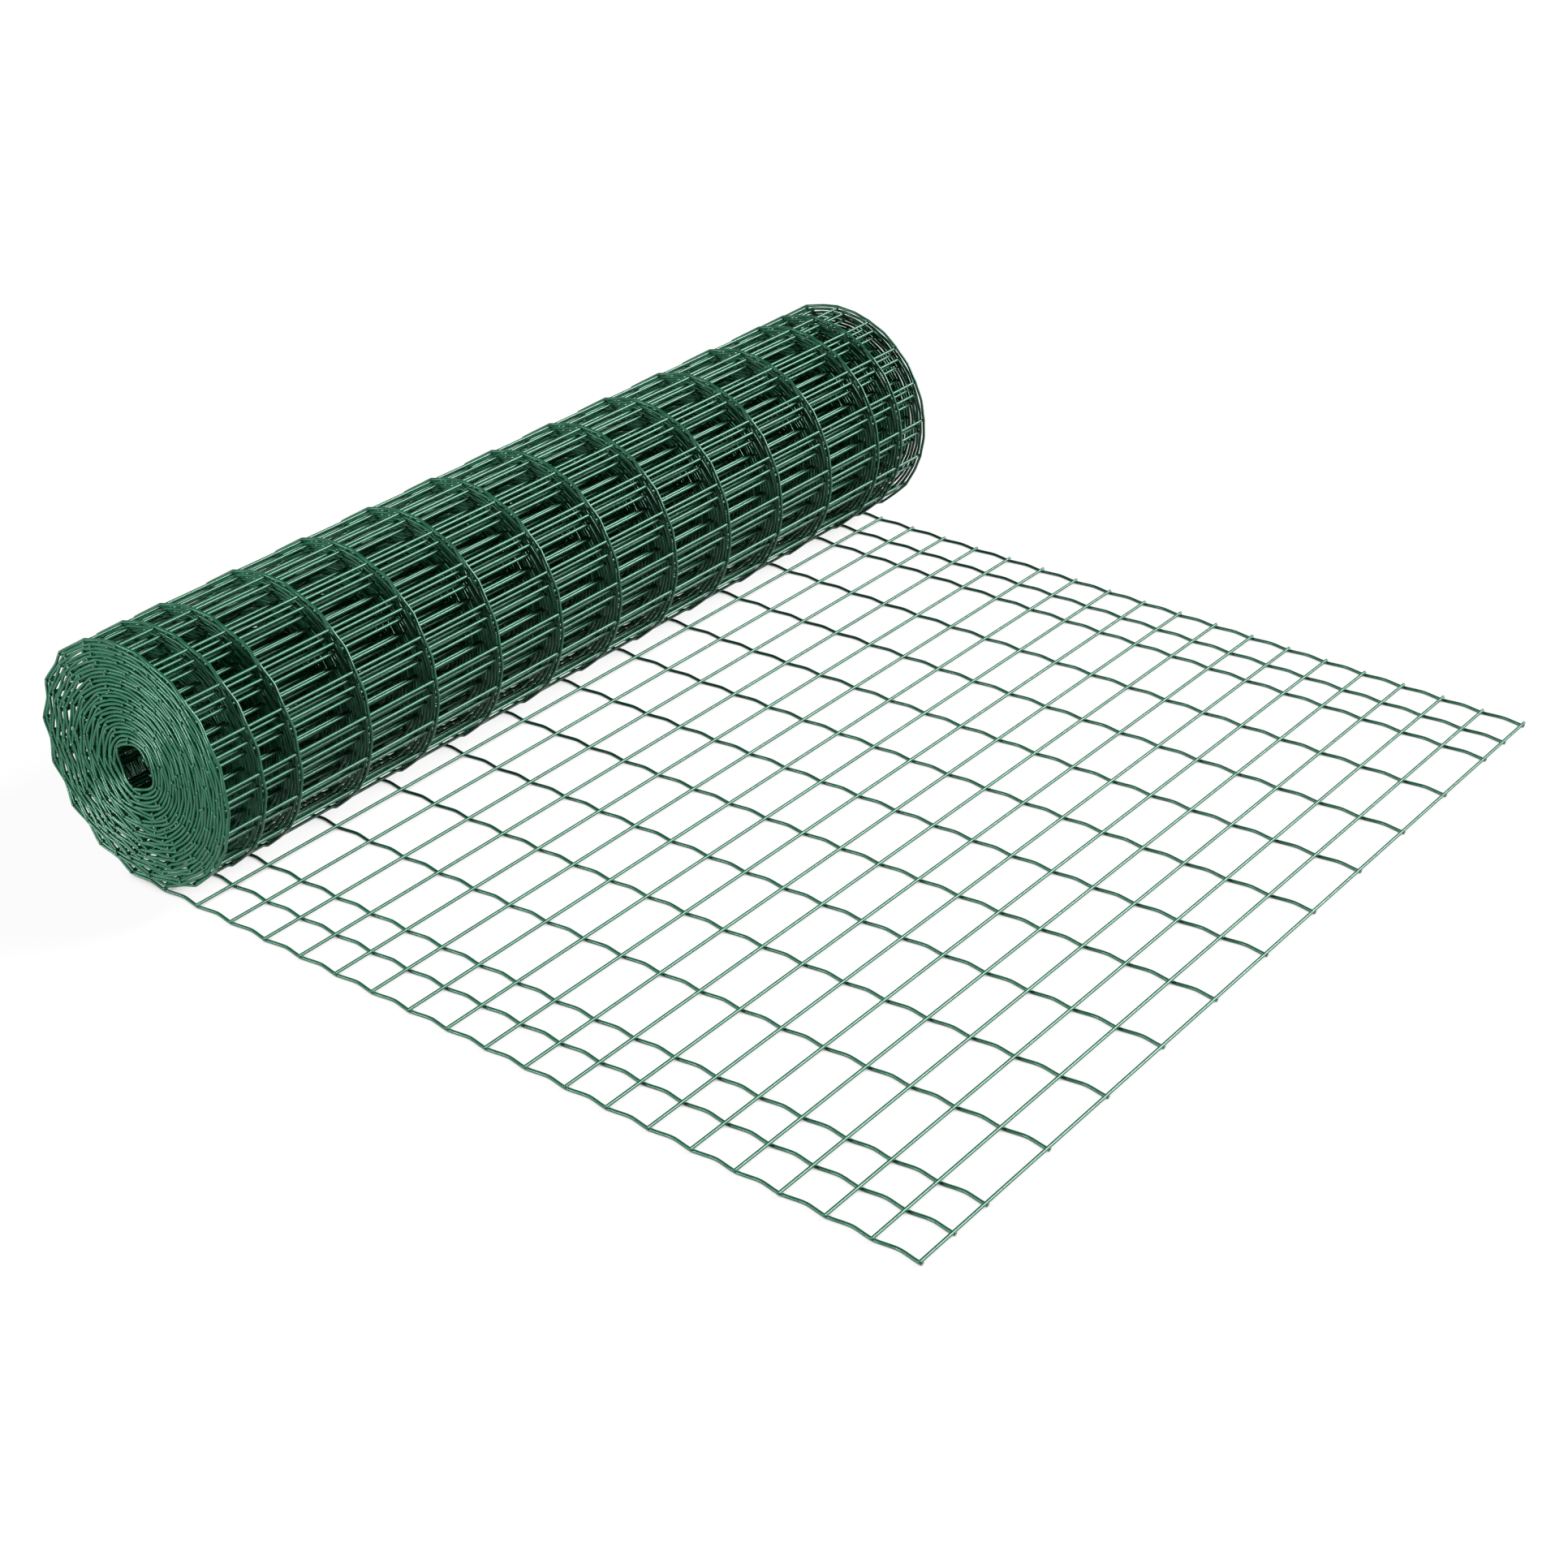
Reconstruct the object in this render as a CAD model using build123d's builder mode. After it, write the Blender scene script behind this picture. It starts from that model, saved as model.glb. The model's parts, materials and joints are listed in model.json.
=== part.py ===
"""A roll of welded wire fencing that lies on the floor with its free end unrolled.

Millimetres. +X is the way the mesh unrolls, +Y runs along the roll's axis and +Z is up.
The origin is on the floor, under the middle of the whole object.
"""

import os
from math import cos, pi, sin, sqrt

from build123d import *

# The wire: steel with a plastic coat, the same for line wires and cross wires
wire_diameter = 3.5

# The mesh: line wires run with the unrolling, cross wires lie over them and are welded on
mesh_width = 1200.0  # between the two outermost line wires
edge_band = 100.0  # along both edges, where the line wires lie closer together
edge_spacing = 50.0  # from one line wire to the next in an edge band
field_spacing = 100.0  # from one line wire to the next between the bands
cross_spacing = 50.0  # from one cross wire to the next
crimp_depth = 3.6  # sideways wave of a line wire between two cross wires
cross_overhang = 3.0  # from the outermost line wire's middle to the cross wire's cut end

# The roll: wound tight on an open bore, each turn bent where its cross wires lie
roll_diameter = 280.0
bore_diameter = 42.0  # clear of the cross wires inside the innermost turn
turn_pitch_share = 1.21  # of the wire, from one turn to the next
bends_per_turn = 16

# The free end: whole cells that lie flat, and the part of a cell up to where the roll touches the floor
loose_cells = 19
touch_cell_share = 0.5
seat_height_share = 0.25  # of the wire, left at the tip of a line wire under the roll

# The places of the line wires: whole cells in both edge bands and in the field between them
field_width = mesh_width - 2 * edge_band
edge_cells = round(edge_band / edge_spacing)
field_cells = round(field_width / field_spacing)
edge_gaps = [edge_band / edge_cells] * edge_cells
field_gaps = [field_width / field_cells] * field_cells
line_gaps = edge_gaps + field_gaps + edge_gaps
line_places = [-mesh_width / 2 + sum(line_gaps[:number]) for number in range(len(line_gaps) + 1)]
cross_length = mesh_width + 2 * cross_overhang

# The roll's radii, and the places along X that both stretches of the mesh take from it
wire_radius = wire_diameter / 2
roll_radius = roll_diameter / 2
bore_radius = bore_diameter / 2
turn_pitch = turn_pitch_share * wire_diameter
loose_length = (loose_cells + touch_cell_share) * cross_spacing
free_wire_x = (roll_radius + loose_length - wire_radius) / 2
free_edge_x = free_wire_x + wire_radius
roll_axis_x = free_wire_x - loose_length
roll_axis_z = roll_radius

# A line wire's tip tapers under the roll and stops where a part of its height is left
seat_height = seat_height_share * wire_diameter
seat_x = roll_axis_x + sqrt(roll_radius**2 - (roll_radius - seat_height) ** 2)


def turn_outline():
    """Outline of the edge wire as wound, seen along the axis: from the floor inwards and back."""
    bend_angle = 2 * pi / bends_per_turn
    bend_pitch = turn_pitch / bends_per_turn
    innermost_radius = (bore_radius + wire_diameter) / cos(bend_angle / 2)
    bends = int((roll_radius - wire_diameter - innermost_radius) / bend_pitch)
    outer_side = []
    inner_side = []
    for bend in range(bends + 1):
        angle = bend * bend_angle
        outer_radius = roll_radius - bend * bend_pitch
        inner_radius = outer_radius - wire_diameter
        outer_side.append((-outer_radius * sin(angle), -outer_radius * cos(angle)))
        inner_side.append((-inner_radius * sin(angle), -inner_radius * cos(angle)))
    return outer_side + inner_side[::-1]


def crimp(x):
    """Sideways shift of a line wire at x: none at a cross wire's edge, the full depth half a cell on."""
    cell_share = (free_edge_x - x) / cross_spacing % 1
    return crimp_depth * (1 - abs(2 * cell_share - 1))


def line_wire_stations():
    """Places along X where a line wire starts, bends or ends, from the free edge to the roll."""
    half_cell = cross_spacing / 2
    bends = int((free_edge_x - seat_x) / half_cell)
    return [free_edge_x - bend * half_cell for bend in range(bends + 1)] + [seat_x]


# The wound stretch: one turned solid with its bore, and the edge wire's turns on both ends
core_length = mesh_width - wire_diameter
wall = roll_radius - bore_radius
roll_plane = Plane(origin=(roll_axis_x, 0, roll_axis_z), x_dir=(1, 0, 0), z_dir=(0, 0, 1))
roll_axis = Axis(origin=(roll_axis_x, 0, roll_axis_z), direction=(0, 1, 0))
near_end = Plane(origin=(roll_axis_x, -core_length / 2, roll_axis_z), x_dir=(1, 0, 0), z_dir=(0, -1, 0))

with BuildPart() as wound_roll:
    with BuildSketch(roll_plane):
        with Locations((bore_radius + wall / 2, 0)):
            Rectangle(wall, core_length)
    revolve(axis=roll_axis)
    with BuildSketch(near_end):
        with BuildLine():
            Polyline(*turn_outline(), close=True)
        make_face()
    near_turns = extrude(amount=wire_diameter)
    mirror(near_turns, about=Plane.XZ)

# The loose stretch: waved line wires on the floor, straight cross wires on top of them
stations = line_wire_stations()

with BuildPart() as loose_end:
    with BuildSketch(Plane.XY):
        for place in line_places:
            middle = [(x, place + crimp(x)) for x in stations]
            far_side = [(x, y + wire_radius) for x, y in middle]
            near_side = [(x, y - wire_radius) for x, y in reversed(middle)]
            with BuildLine():
                Polyline(*far_side, *near_side, close=True)
            make_face()
    extrude(amount=wire_diameter)
    with BuildSketch(Plane.XY.offset(wire_diameter)):
        for number in range(loose_cells):
            with Locations((free_wire_x - number * cross_spacing, 0)):
                Rectangle(wire_diameter, cross_length)
    extrude(amount=wire_diameter)
    with Locations(roll_plane):
        Cylinder(roll_radius, cross_length, rotation=(90, 0, 0), mode=Mode.SUBTRACT)

wound_roll.part.label = "wound_roll"
loose_end.part.label = "loose_end"

os.makedirs("parts", exist_ok=True)
export_step(wound_roll.part, "parts/wound_roll.step")
export_step(loose_end.part, "parts/loose_end.step")
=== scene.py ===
import json
import math

import bpy
import numpy as np
from mathutils import Matrix, Vector


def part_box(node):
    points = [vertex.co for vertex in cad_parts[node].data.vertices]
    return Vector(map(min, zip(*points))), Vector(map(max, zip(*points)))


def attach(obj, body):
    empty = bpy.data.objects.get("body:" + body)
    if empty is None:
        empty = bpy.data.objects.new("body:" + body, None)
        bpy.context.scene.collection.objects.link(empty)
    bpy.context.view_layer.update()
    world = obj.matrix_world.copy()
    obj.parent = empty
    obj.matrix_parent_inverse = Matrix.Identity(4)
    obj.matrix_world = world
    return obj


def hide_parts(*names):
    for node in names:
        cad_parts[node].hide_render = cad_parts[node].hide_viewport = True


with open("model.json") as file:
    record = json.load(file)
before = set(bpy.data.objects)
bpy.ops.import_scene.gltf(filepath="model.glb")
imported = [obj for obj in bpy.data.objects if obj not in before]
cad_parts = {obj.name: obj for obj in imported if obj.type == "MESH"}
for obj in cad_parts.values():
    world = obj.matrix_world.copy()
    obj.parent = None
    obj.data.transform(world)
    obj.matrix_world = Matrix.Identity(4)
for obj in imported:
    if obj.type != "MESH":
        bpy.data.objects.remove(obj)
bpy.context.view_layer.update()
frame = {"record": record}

MM = 0.001

# Sizes read from the frame, in metres
roll_low, roll_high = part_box("wound_roll")
loose_low, loose_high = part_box("loose_end")
bore_radius = frame["record"]["mounts"][0]["dims"]["r_mm"] * MM
wire_diameter = (loose_high.z - loose_low.z) / 2
wire_radius = wire_diameter / 2
roll_radius = (roll_high.z - roll_low.z) / 2
roll_x = (roll_high.x + roll_low.x) / 2
roll_z = roll_radius
mesh_width = roll_high.y - roll_low.y - wire_diameter
free_wire_x = loose_high.x - wire_radius

# Sizes of the mesh and of its winding
cross_spacing = 50 * MM
edge_spacing = 50 * MM
field_spacing = 100 * MM
edge_line_count = 3
crimp_depth = 3.6 * MM         # sideways wave of a line wire between two cross wires
cross_overhang = 3.0 * MM      # from the outermost line wire's middle to a cross wire's tip
weld_sink = 1.2 * MM           # how far a cross wire sinks into the line wires
weld_reach = 2.6 * MM          # half the width of the bead of coat where two wires cross
weld_thickness = 1.3 * MM      # half the height of that bead
weld_turns = 2.2               # outer turns whose crossings can be seen
turn_pitch = 4.24 * MM         # from one turn to the next
measure_depth = 2.1 * MM       # from a turn's outside to where the mesh keeps its length when it is wound
outer_bend_depth = 2.2 * MM    # how far the outermost turn dips between two cross wires
inner_bend_depth = 1.2 * MM    # how far a turn dips that is pressed between others
bend_rise_share = 0.65         # of that depth, how far the corners stand out of the even turn
press_start = 0.6              # turns from the floor to where others begin to press
inner_crimp_share = 0.45       # of the waves, left in turns that are pressed between others
face_crimp_share = 0.65        # the same for the outermost wires, which show on the two ends
bend_start_angle = math.radians(25)    # from the floor to where the bends have their full depth
bore_corners = 4               # the innermost turns are nearly square
bore_corner_depth = 4.0 * MM   # how far their sides dip between the corners
bore_corner_angle = math.radians(62)   # how the square is turned
bore_corner_fade = 10 * MM     # radius over which the square fades into round turns
sideways_drift = 0.8 * MM      # how unevenly the turns lie along the axis
loose_drift = 0.2 * MM         # how unevenly the turns lie towards the axis
sideways_waves = (5, 6.0, 3)   # seed, longest wave in metres and number of waves of the first drift
loose_waves = (11, 0.9, 5)     # the same for the second drift
tip_spread = 1.0 * MM          # how unevenly the cross wires are cut
tip_seed = 7
core_radius = 1.3 * MM         # steel inside the coat, bare where a wire is cut

# Fineness: steps of a line wire along one cell, and sides of a wire or bead
loose_steps = 10
loose_sides = 10
loose_cross_sides = 12
outer_steps = 8
outer_sides = 8
inner_steps = 6
inner_sides = 6
outer_share = 0.3              # of the wound length, for the outer turns of the field wires
wound_cross_sides = 8
weld_sides = 8

# A wire's tip, ring by ring: distance from the end and share of the radius
cut_tip = ((0, core_radius / wire_radius), (0, 0.93), (0.2 * MM, 1), (0.6 * MM, 1))
coated_tip = ((0, 0.4), (0.15 * MM, 0.78), (0.55 * MM, 1), (1.0 * MM, 1))

line_depth = wire_radius                               # middle of a line wire, from the outside
cross_depth = line_depth + wire_diameter - weld_sink   # middle of a cross wire, from the outside
weld_depth = (line_depth + cross_depth) / 2
cross_half = mesh_width / 2 + cross_overhang
loose_length = free_wire_x - roll_x
measure_radius = roll_radius - measure_depth
floor_side = np.array([0.0, 0.0, -1.0])                # the outside of the mesh where it lies flat
dice = np.random.default_rng(tip_seed)

# Soft boxes: name, place and aim in metres, two sides in metres and power in watts
lamps = (
    ("key_light", (5.4, 7.9, 7.1), (-0.2, 0.0, 0.1), (3.0, 5.6), 3200.0),
    ("end_light", (-1.2, -4.6, 0.7), (-0.42, -0.6, 0.14), (0.9, 0.9), 230.0),
    ("side_light", (5.4, 3.0, 1.5), (-0.3, 0.0, 0.1), (1.2, 3.0), 180.0),
    ("left_light", (-2.3, -3.5, 1.5), (-0.4, -0.6, 0.1), (1.2, 1.2), 80.0),
)


# Places of the wires

def line_places():
    """Y of the line wires: close together along both edges, wider in the field between them."""
    half = mesh_width / 2
    edge = [half - number * edge_spacing for number in range(edge_line_count)]
    field_half = edge[-1]
    steps = round(2 * field_half / field_spacing)
    field = [-field_half + number * field_spacing for number in range(1, steps)]
    near_edge = [-place for place in edge]
    return near_edge, field, edge[::-1]


def all_line_places():
    """Y of every line wire in one list, from the near edge to the far edge."""
    near_edge, field, far_edge = line_places()
    return near_edge + field + far_edge


def cell_place(along):
    """Share of the way from one cross wire to the next, for lengths from the free edge wire."""
    return along / cross_spacing % 1


def crimp(along):
    """Sideways wave of the line wires: a rounded triangle in every cell."""
    straight_share = 0.45
    share = cell_place(along)
    triangle = 1 - np.abs(2 * share - 1)
    rounded = (1 - np.cos(2 * np.pi * share)) / 2
    return crimp_depth * (straight_share * triangle + (1 - straight_share) * rounded)


def smooth_drift(along, seed, longest, waves):
    """A slow uneven drift between about -1 and 1: a sum of waves, each shorter and weaker than the last."""
    shortening = 0.83
    weakening = 0.5
    usual_height = 1.8
    draw = np.random.default_rng(seed)
    total = np.zeros_like(along)
    for wave in range(waves):
        length = longest / (1 + wave * shortening)
        total += np.sin(2 * np.pi * (along / length + draw.random())) / (1 + wave * weakening)
    return total / usual_height


def winding(along):
    """Angle and radius of the turn's outside for lengths wound past the floor."""
    wound = along - loose_length
    turn = (measure_radius - np.sqrt(measure_radius**2 - turn_pitch * wound / np.pi)) / turn_pitch
    return 2 * np.pi * turn, roll_radius - turn_pitch * turn


def pressed(angle):
    """0 on the start of the outermost turn, 1 on the turns that others lie on."""
    return np.clip(angle / (2 * np.pi) - press_start, 0, 1)


def wound_points(along, depth, place):
    """Points and outward directions of a wire that lies depth below the turn's outside."""
    angle, radius = winding(along)
    share = cell_place(along)
    settle = np.clip(angle / bend_start_angle, 0, 1)
    bend_depth = outer_bend_depth + (inner_bend_depth - outer_bend_depth) * pressed(angle)
    corners = np.cos(bore_corners * (angle + np.pi / 2 + bore_corner_angle))
    corner_depth = bore_corner_depth * np.exp((bore_radius - radius) / bore_corner_fade)
    dip = 4 * share * (1 - share)
    radius = radius + settle * bend_depth * (bend_rise_share - dip)
    radius = radius + settle * loose_drift * smooth_drift(along, *loose_waves)
    radius = radius + corner_depth * (corners - 1) / 2
    outward = np.stack([-np.sin(angle), np.zeros_like(angle), -np.cos(angle)], -1)
    middle = np.array([roll_x, 0, roll_z]) + outward * (radius - depth)[..., None]
    middle[..., 1] = place + settle * sideways_drift * smooth_drift(along, *sideways_waves)
    return middle, outward


def wound_length():
    """Length from the free edge wire to the inner end of the winding."""
    inner_radius = bore_radius + cross_depth + wire_radius - measure_depth
    wound = np.pi * (measure_radius**2 - inner_radius**2) / turn_pitch
    return loose_length + wound


def cross_places():
    """Lengths from the free edge wire of all cross wires, first those on the floor."""
    lengths = np.arange(0, wound_length(), cross_spacing)
    return lengths[lengths <= loose_length], lengths[lengths > loose_length]


# Meshes

def unit(vectors):
    """The same directions with length 1."""
    return vectors / np.linalg.norm(vectors, axis=-1, keepdims=True)


def tube_rings(paths, outs, sides, tip):
    """Rings of points round many like paths, narrowing at both tips."""
    along = unit(np.gradient(paths, axis=1))
    across = unit(np.cross(along, outs))
    outs = np.cross(across, along)
    first = [paths[:, :1] + along[:, :1] * inset for inset, share in tip]
    last = [paths[:, -1:] - along[:, -1:] * inset for inset, share in tip]
    middles = np.concatenate(first + [paths[:, 1:-1]] + last[::-1], axis=1)
    at_tip = len(tip) - 1
    path_point = [0] * at_tip + list(range(paths.shape[1])) + [-1] * at_tip
    radii = np.full(middles.shape[1], wire_radius)
    tip_radii = wire_radius * np.array([share for inset, share in tip])
    radii[:len(tip)] = tip_radii
    radii[-len(tip):] = tip_radii[::-1]
    angles = 2 * np.pi * (np.arange(sides) + 0.5) / sides
    outward_part = np.cos(angles)[:, None] * outs[:, path_point, None]
    sideways_part = np.sin(angles)[:, None] * across[:, path_point, None]
    return middles[:, :, None] + radii[:, None, None] * (outward_part + sideways_part)


def tube_faces(count, rings, sides):
    """Corner numbers, face starts and face materials of many like tubes."""
    base = (np.arange(count) * rings * sides)[:, None, None]
    ring = (np.arange(rings - 1) * sides)[None, :, None]
    side = np.arange(sides)[None, None, :]
    after = (side + 1) % sides
    quads = np.stack([base + ring + side, base + ring + after,
                      base + ring + sides + after, base + ring + sides + side], -1).reshape(-1, 4)
    start_caps = base[:, 0] + np.arange(sides)[::-1][None, :]
    end_caps = base[:, 0] + (rings - 1) * sides + np.arange(sides)[None, :]
    caps = np.concatenate([start_caps, end_caps])
    corners = np.concatenate([quads.ravel(), caps.ravel()])
    starts = np.concatenate([np.arange(len(quads)) * 4, len(quads) * 4 + np.arange(len(caps)) * sides])
    bare = np.concatenate([np.zeros(len(quads), dtype=np.int32), np.ones(len(caps), dtype=np.int32)])
    return corners, starts, bare


def make_piece(name, points, corners, starts, bare, materials, node):
    """A mesh object from arrays that rides on the fencing's one body."""
    mesh = bpy.data.meshes.new(name)
    mesh.vertices.add(len(points))
    mesh.vertices.foreach_set("co", points.astype(np.float32).ravel())
    mesh.loops.add(len(corners))
    mesh.loops.foreach_set("vertex_index", corners.astype(np.int32))
    mesh.polygons.add(len(starts))
    mesh.polygons.foreach_set("loop_start", starts.astype(np.int32))
    mesh.polygons.foreach_set("material_index", bare)
    mesh.polygons.foreach_set("use_smooth", bare == 0)
    mesh.update(calc_edges=True)
    mesh.validate()
    for material in materials:
        mesh.materials.append(material)
    piece = bpy.data.objects.new(name, mesh)
    bpy.context.scene.collection.objects.link(piece)
    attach(piece, "root")
    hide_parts(node)


def make_wires(name, paths, outs, sides, tip, materials, node):
    """One joined mesh of many like round wires."""
    points = tube_rings(paths, outs, sides, tip)
    corners, starts, bare = tube_faces(points.shape[0], points.shape[1], sides)
    if tip is coated_tip:
        bare = np.zeros_like(bare)
    make_piece(name, points.reshape(-1, 3), corners, starts, bare, materials, node)


def weld_shape():
    """Points of a ball of radius 1 and the point numbers of its faces, ring by ring between two poles."""
    sides = weld_sides
    tilts = np.radians((45, 90, 135))
    around = 2 * np.pi * np.arange(sides) / sides
    points = [(0, 0, 1)]
    for tilt in tilts:
        for turn in around:
            points.append((np.sin(tilt) * np.cos(turn), np.sin(tilt) * np.sin(turn), np.cos(tilt)))
    points.append((0, 0, -1))
    lowest = 1 + (len(tilts) - 1) * sides
    faces = []
    for side in range(sides):
        after = (side + 1) % sides
        faces.append((0, 1 + side, 1 + after))
        for upper in range(1, lowest, sides):
            lower = upper + sides
            faces.append((upper + side, lower + side, lower + after, upper + after))
        faces.append((len(points) - 1, lowest + after, lowest + side))
    return np.array(points), faces


def make_welds(name, middles, alongs, outs, materials, node):
    """One joined mesh of the flat beads of coat between crossing wires."""
    shape, faces = weld_shape()
    across = np.cross(outs, alongs)
    points = middles[:, None] + weld_reach * shape[:, :1] * alongs[:, None]
    points = points + weld_reach * shape[:, 1:2] * across[:, None]
    points = points + weld_thickness * shape[:, 2:] * outs[:, None]
    lengths = np.array([len(face) for face in faces])
    corners = np.concatenate([np.array(face) for face in faces])
    starts = np.cumsum(lengths) - lengths
    number = np.arange(len(middles))[:, None]
    corners = (corners + number * len(shape)).ravel()
    starts = (starts + number * lengths.sum()).ravel()
    bare = np.zeros(len(starts), dtype=np.int32)
    make_piece(name, points.reshape(-1, 3), corners, starts, bare, materials, node)


# The wires and beads

def loose_line_wires(materials):
    """The line wires on the floor, from the free edge to where the roll lifts them."""
    steps = int(round(loose_length / cross_spacing * loose_steps))
    along = np.linspace(-wire_radius, loose_length, steps + 1)
    paths = []
    for place in all_line_places():
        waves = place + crimp(along)
        paths.append(np.stack([free_wire_x - along, waves, np.full_like(along, line_depth)], -1))
    paths = np.array(paths)
    outs = np.broadcast_to(floor_side, paths.shape)
    make_wires("loose_line_wires", paths, outs, loose_sides, cut_tip, materials, "loose_end")


def loose_cross_wires(materials):
    """The straight cross wires that lie on the line wires of the flat stretch."""
    paths = []
    for along in cross_places()[0]:
        ends = np.array([-cross_half, cross_half]) + dice.uniform(-tip_spread, tip_spread, 2)
        heights = np.full(2, cross_depth)
        paths.append(np.stack([np.full(2, free_wire_x - along), ends, heights], -1))
    paths = np.array(paths)
    outs = np.broadcast_to(floor_side, paths.shape)
    make_wires("loose_cross_wires", paths, outs, loose_cross_sides, coated_tip, materials, "loose_end")


def wound_line_wires(name, places, first_share, last_share, steps_per_cell, sides, materials):
    """The stretch of some line wires between two shares of the wound length."""
    wound = wound_length() - loose_length
    start = loose_length + first_share * wound
    end = loose_length + last_share * wound
    steps = int(round((end - start) / cross_spacing * steps_per_cell))
    along = np.linspace(start, end, steps + 1)
    press = pressed(winding(along)[0])
    paths, outs = [], []
    for place in places:
        middle, outward = wound_points(along, line_depth, place)
        share = face_crimp_share if abs(place) > mesh_width / 2 - wire_radius else inner_crimp_share
        middle[:, 1] += crimp(along) * (1 - (1 - share) * press)
        paths.append(middle)
        outs.append(outward)
    make_wires(name, np.array(paths), np.array(outs), sides, cut_tip, materials, "wound_roll")


def wound_cross_wires(materials):
    """The straight cross wires inside the turns."""
    along = cross_places()[1]
    ends = []
    for side in (-cross_half, cross_half):
        middle, outward = wound_points(along, cross_depth, side)
        middle[:, 1] += dice.uniform(-tip_spread, tip_spread, len(along))
        ends.append(middle)
    paths = np.stack(ends, 1)
    outs = np.stack([outward, outward], 1)
    make_wires("wound_cross_wires", paths, outs, wound_cross_sides, coated_tip, materials, "wound_roll")


def loose_welds(materials):
    """Beads of coat at every crossing of the flat stretch."""
    along, place = np.meshgrid(cross_places()[0], all_line_places())
    height = np.full(along.size, weld_depth)
    middles = np.stack([free_wire_x - along.ravel(), place.ravel(), height], -1)
    alongs = np.broadcast_to(np.array([-1.0, 0.0, 0.0]), middles.shape)
    outs = np.broadcast_to(floor_side, middles.shape)
    make_welds("loose_welds", middles, alongs, outs, materials, "loose_end")


def wound_welds(materials):
    """Beads of coat at the crossings of the outer turns."""
    along = cross_places()[1]
    along = along[winding(along)[0] < 2 * np.pi * weld_turns]
    angle = winding(along)[0]
    ahead = np.stack([-np.cos(angle), np.zeros_like(angle), np.sin(angle)], -1)
    middles, alongs, outs = [], [], []
    for place in all_line_places():
        middle, outward = wound_points(along, weld_depth, place)
        middles.append(middle)
        alongs.append(ahead)
        outs.append(outward)
    make_welds("wound_welds", np.concatenate(middles), np.concatenate(alongs), np.concatenate(outs),
               materials, "wound_roll")


# Materials

def node_maker(material):
    """An emptied node tree, and a function that adds a node with its settings to it."""
    material.use_nodes = True
    tree = material.node_tree
    tree.nodes.clear()

    def make(kind, **values):
        node = tree.nodes.new(kind)
        for key, value in values.items():
            setattr(node, key, value)
        return node

    return tree, make


def noise(tree, make, coordinates, scale, detail):
    """Soft noise that is fixed to the object."""
    texture = make("ShaderNodeTexNoise")
    texture.inputs["Scale"].default_value = scale
    texture.inputs["Detail"].default_value = detail
    tree.links.new(coordinates.outputs["Object"], texture.inputs["Vector"])
    return texture


def ramp(tree, make, source, low, high):
    """A colour ramp from low to high, each given as a place and a colour."""
    blend = make("ShaderNodeValToRGB")
    blend.color_ramp.elements[0].position = low[0]
    blend.color_ramp.elements[0].color = low[1]
    blend.color_ramp.elements[1].position = high[0]
    blend.color_ramp.elements[1].color = high[1]
    tree.links.new(source, blend.inputs["Fac"])
    return blend


def spread(tree, make, source, low, high):
    """A value moved from 0 to 1 into low to high."""
    span = make("ShaderNodeMapRange")
    span.inputs["To Min"].default_value = low
    span.inputs["To Max"].default_value = high
    tree.links.new(source, span.inputs["Value"])
    return span


def coat_material():
    """Green plastic coat: slightly mottled, satin, with the fine ripple of a dipped wire."""
    material = bpy.data.materials.new("green_coat")
    tree, make = node_maker(material)
    coordinates = make("ShaderNodeTexCoord")
    patches = noise(tree, make, coordinates, scale=60.0, detail=3.0)
    deep_green = (0.004, 0.064, 0.030, 1)
    light_green = (0.008, 0.086, 0.042, 1)
    colour = ramp(tree, make, patches.outputs["Fac"], (0.3, deep_green), (0.7, light_green))
    speckle = noise(tree, make, coordinates, scale=700.0, detail=2.0)
    roughness = spread(tree, make, speckle.outputs["Fac"], low=0.30, high=0.36)
    bump = make("ShaderNodeBump")
    bump.inputs["Strength"].default_value = 0.01
    bump.inputs["Distance"].default_value = 0.3 * MM
    tree.links.new(speckle.outputs["Fac"], bump.inputs["Height"])
    shader = make("ShaderNodeBsdfPrincipled")
    shader.inputs["Specular IOR Level"].default_value = 0.5
    shader.inputs["Specular Tint"].default_value = (0.70, 1.0, 0.87, 1)
    tree.links.new(colour.outputs["Color"], shader.inputs["Base Color"])
    tree.links.new(roughness.outputs["Result"], shader.inputs["Roughness"])
    tree.links.new(bump.outputs["Normal"], shader.inputs["Normal"])
    output = make("ShaderNodeOutputMaterial")
    tree.links.new(shader.outputs["BSDF"], output.inputs["Surface"])
    return material


def steel_material():
    """Bare steel where a wire is cut."""
    material = bpy.data.materials.new("cut_steel")
    tree, make = node_maker(material)
    coordinates = make("ShaderNodeTexCoord")
    grain = noise(tree, make, coordinates, scale=1500.0, detail=2.0)
    dull_steel = (0.36, 0.40, 0.38, 1)
    bright_steel = (0.58, 0.62, 0.60, 1)
    colour = ramp(tree, make, grain.outputs["Fac"], (0.3, dull_steel), (0.7, bright_steel))
    roughness = spread(tree, make, grain.outputs["Fac"], low=0.3, high=0.5)
    shader = make("ShaderNodeBsdfPrincipled")
    shader.inputs["Metallic"].default_value = 0.9
    tree.links.new(colour.outputs["Color"], shader.inputs["Base Color"])
    tree.links.new(roughness.outputs["Result"], shader.inputs["Roughness"])
    output = make("ShaderNodeOutputMaterial")
    tree.links.new(shader.outputs["BSDF"], output.inputs["Surface"])
    return material


# Stage

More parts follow.
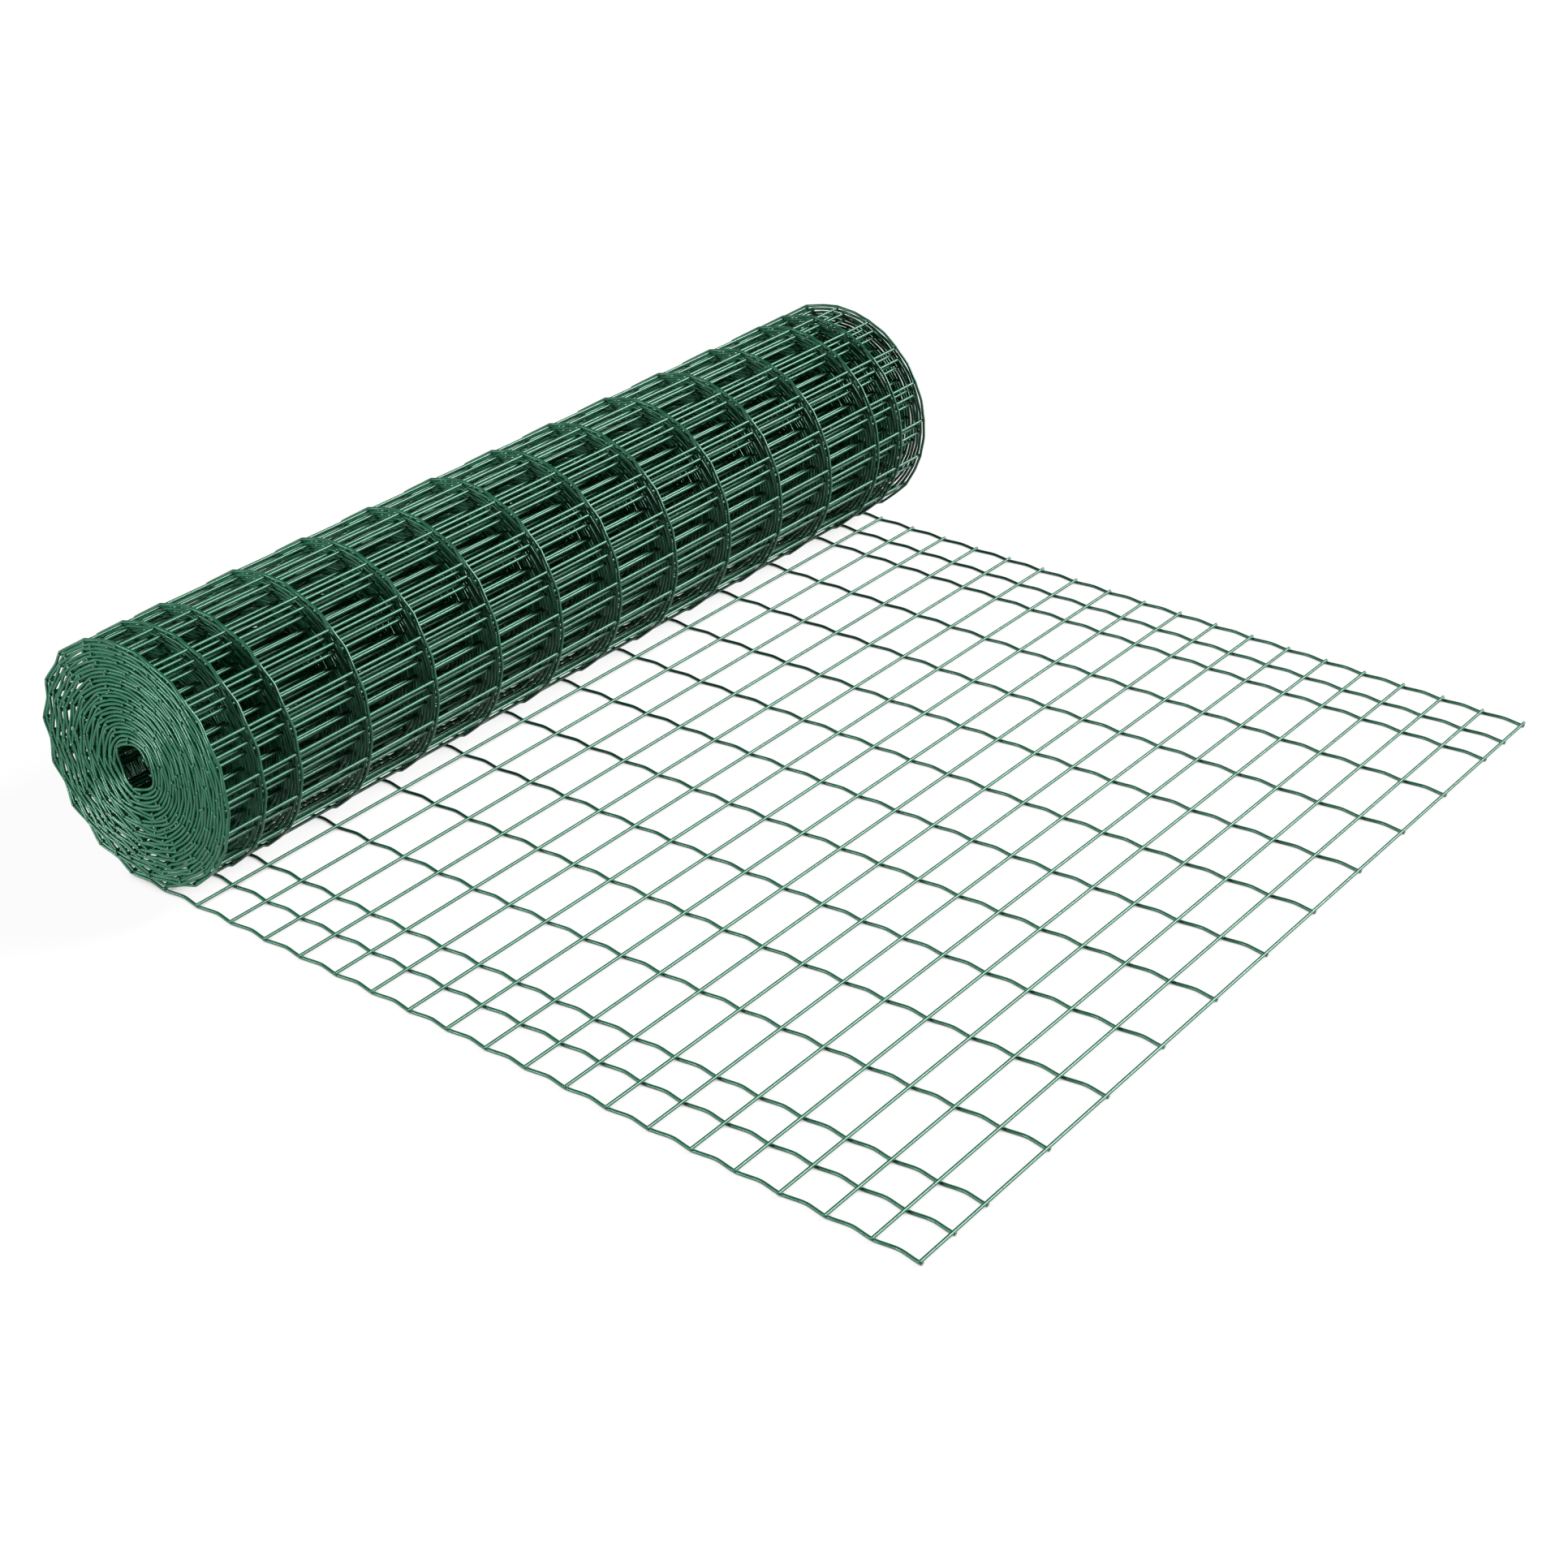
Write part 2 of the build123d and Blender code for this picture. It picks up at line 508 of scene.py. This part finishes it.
def shown_rays(tree, make):
    """1 for rays from the camera or through a mirror or glass, 0 for other light."""
    path = make("ShaderNodeLightPath")
    first = make("ShaderNodeMath", operation="MAXIMUM")
    tree.links.new(path.outputs["Is Camera Ray"], first.inputs[0])
    tree.links.new(path.outputs["Is Glossy Ray"], first.inputs[1])
    both = make("ShaderNodeMath", operation="MAXIMUM")
    tree.links.new(first.outputs[0], both.inputs[0])
    tree.links.new(path.outputs["Is Transmission Ray"], both.inputs[1])
    return both.outputs[0]


def floor_material():
    """White paper floor that still takes the object's shadow, and whose glow dims near the object as a
    painted contact shadow.
    """
    material = bpy.data.materials.new("paper_floor")
    tree, make = node_maker(material)
    paper = make("ShaderNodeBsdfDiffuse")
    paper.inputs["Color"].default_value = (0.22, 0.22, 0.22, 1)
    tint = make("ShaderNodeBsdfDiffuse")
    tint.inputs["Color"].default_value = (0.06, 0.06, 0.06, 1)
    # Painted shade: ambient occlusion dims the floor's glow to the eye under and beside the object, a
    # painted contact shadow.
    painted_shade_occlusion = make("ShaderNodeAmbientOcclusion")
    painted_shade_occlusion.inputs["Distance"].default_value = 40 * MM
    painted_shade_glow = make("ShaderNodeMapRange")
    painted_shade_glow.inputs["From Max"].default_value = 0.6
    painted_shade_glow.inputs["To Max"].default_value = 0.93
    tree.links.new(painted_shade_occlusion.outputs["AO"], painted_shade_glow.inputs["Value"])
    glow = make("ShaderNodeEmission")
    tree.links.new(painted_shade_glow.outputs["Result"], glow.inputs["Strength"])
    lifted = make("ShaderNodeAddShader")
    tree.links.new(tint.outputs[0], lifted.inputs[0])
    tree.links.new(glow.outputs[0], lifted.inputs[1])
    choose = make("ShaderNodeMixShader")
    tree.links.new(shown_rays(tree, make), choose.inputs[0])
    tree.links.new(paper.outputs[0], choose.inputs[1])
    tree.links.new(lifted.outputs[0], choose.inputs[2])
    output = make("ShaderNodeOutputMaterial")
    tree.links.new(choose.outputs[0], output.inputs["Surface"])
    return material


def make_floor():
    """A flat floor so wide that its edges lie far outside the picture."""
    half = 60.0
    corners = [(-half, -half, 0), (half, -half, 0), (half, half, 0), (-half, half, 0)]
    mesh = bpy.data.meshes.new("floor")
    mesh.from_pydata(corners, [], [(0, 1, 2, 3)])
    mesh.materials.append(floor_material())
    floor = bpy.data.objects.new("floor", mesh)
    bpy.context.scene.collection.objects.link(floor)


def make_world():
    """White to the eye, dim overhead in reflections, and an even faint light to everything else."""
    world = bpy.data.worlds.new("studio")
    bpy.context.scene.world = world
    tree, make = node_maker(world)
    soft = make("ShaderNodeBackground")
    soft.inputs["Strength"].default_value = 0.03
    coordinates = make("ShaderNodeTexCoord")
    direction = make("ShaderNodeSeparateXYZ")
    tree.links.new(coordinates.outputs["Generated"], direction.inputs[0])
    height = make("ShaderNodeMapRange")
    height.inputs["From Min"].default_value = 0.05
    height.inputs["From Max"].default_value = 0.25
    height.inputs["To Min"].default_value = 1.0
    height.inputs["To Max"].default_value = 0.08
    tree.links.new(direction.outputs["Z"], height.inputs["Value"])
    white = make("ShaderNodeBackground")
    white.inputs["Color"].default_value = (1, 1, 1, 1)
    path = make("ShaderNodeLightPath")
    strength = make("ShaderNodeMath", operation="MAXIMUM")
    tree.links.new(height.outputs["Result"], strength.inputs[0])
    tree.links.new(path.outputs["Is Camera Ray"], strength.inputs[1])
    tree.links.new(strength.outputs[0], white.inputs["Strength"])
    choose = make("ShaderNodeMixShader")
    tree.links.new(shown_rays(tree, make), choose.inputs[0])
    tree.links.new(soft.outputs[0], choose.inputs[1])
    tree.links.new(white.outputs[0], choose.inputs[2])
    output = make("ShaderNodeOutputWorld")
    tree.links.new(choose.outputs[0], output.inputs["Surface"])


def make_light(name, place, aim, size, power):
    """A soft box whose second side runs with the roll as far as its aim allows."""
    back = (Vector(place) - Vector(aim)).normalized()
    side = Vector((0, 1, 0)).cross(back).normalized()
    light = bpy.data.lights.new(name, "AREA")
    light.shape = "RECTANGLE"
    light.size, light.size_y = size
    light.energy = power
    lamp = bpy.data.objects.new(name, light)
    bpy.context.scene.collection.objects.link(lamp)
    lamp.location = place
    lamp.rotation_mode = "QUATERNION"
    lamp.rotation_quaternion = Matrix((side, back.cross(side), back)).transposed().to_quaternion()


def make_camera():
    """The photograph's camera, placed from the mesh's own grid."""
    frame_width = 1932
    focal_pixels = 3375.8
    axis_pixel = (892.0, 1021.6)
    near_corner = np.array([free_wire_x, -mesh_width / 2, wire_diameter])
    eye_from_corner = np.array([986.7, -1513.8, 1517.6]) * MM
    forward = Vector((-0.5315, 0.6705, -0.5177))
    data = bpy.data.cameras.new("camera")
    data.sensor_width = 36.0
    data.lens = focal_pixels / frame_width * data.sensor_width
    data.shift_x = 0.5 - axis_pixel[0] / frame_width
    data.shift_y = axis_pixel[1] / frame_width - 0.5
    data.clip_start = 0.05
    data.clip_end = 100.0
    camera = bpy.data.objects.new("camera", data)
    bpy.context.scene.collection.objects.link(camera)
    camera.location = near_corner + eye_from_corner
    camera.rotation_mode = "QUATERNION"
    camera.rotation_quaternion = forward.to_track_quat("-Z", "Y")
    bpy.context.scene.camera = camera


def build_fencing():
    """All wires and beads, on the floor and on the roll."""
    materials = [coat_material(), steel_material()]
    near_edge, field, far_edge = line_places()
    loose_line_wires(materials)
    loose_cross_wires(materials)
    wound_line_wires("wound_near_edge_wires", near_edge, 0, 1, outer_steps, outer_sides, materials)
    wound_line_wires("wound_far_edge_wires", far_edge, 0, 1, outer_steps, outer_sides, materials)
    wound_line_wires("wound_outer_field_wires", field, 0, outer_share, outer_steps, outer_sides, materials)
    wound_line_wires("wound_inner_field_wires", field, outer_share, 1, inner_steps, inner_sides, materials)
    wound_cross_wires(materials)
    loose_welds(materials)
    wound_welds(materials)


build_fencing()
make_floor()
make_world()
for lamp in lamps:
    make_light(*lamp)
make_camera()
bpy.context.scene.view_settings.view_transform = "Standard"
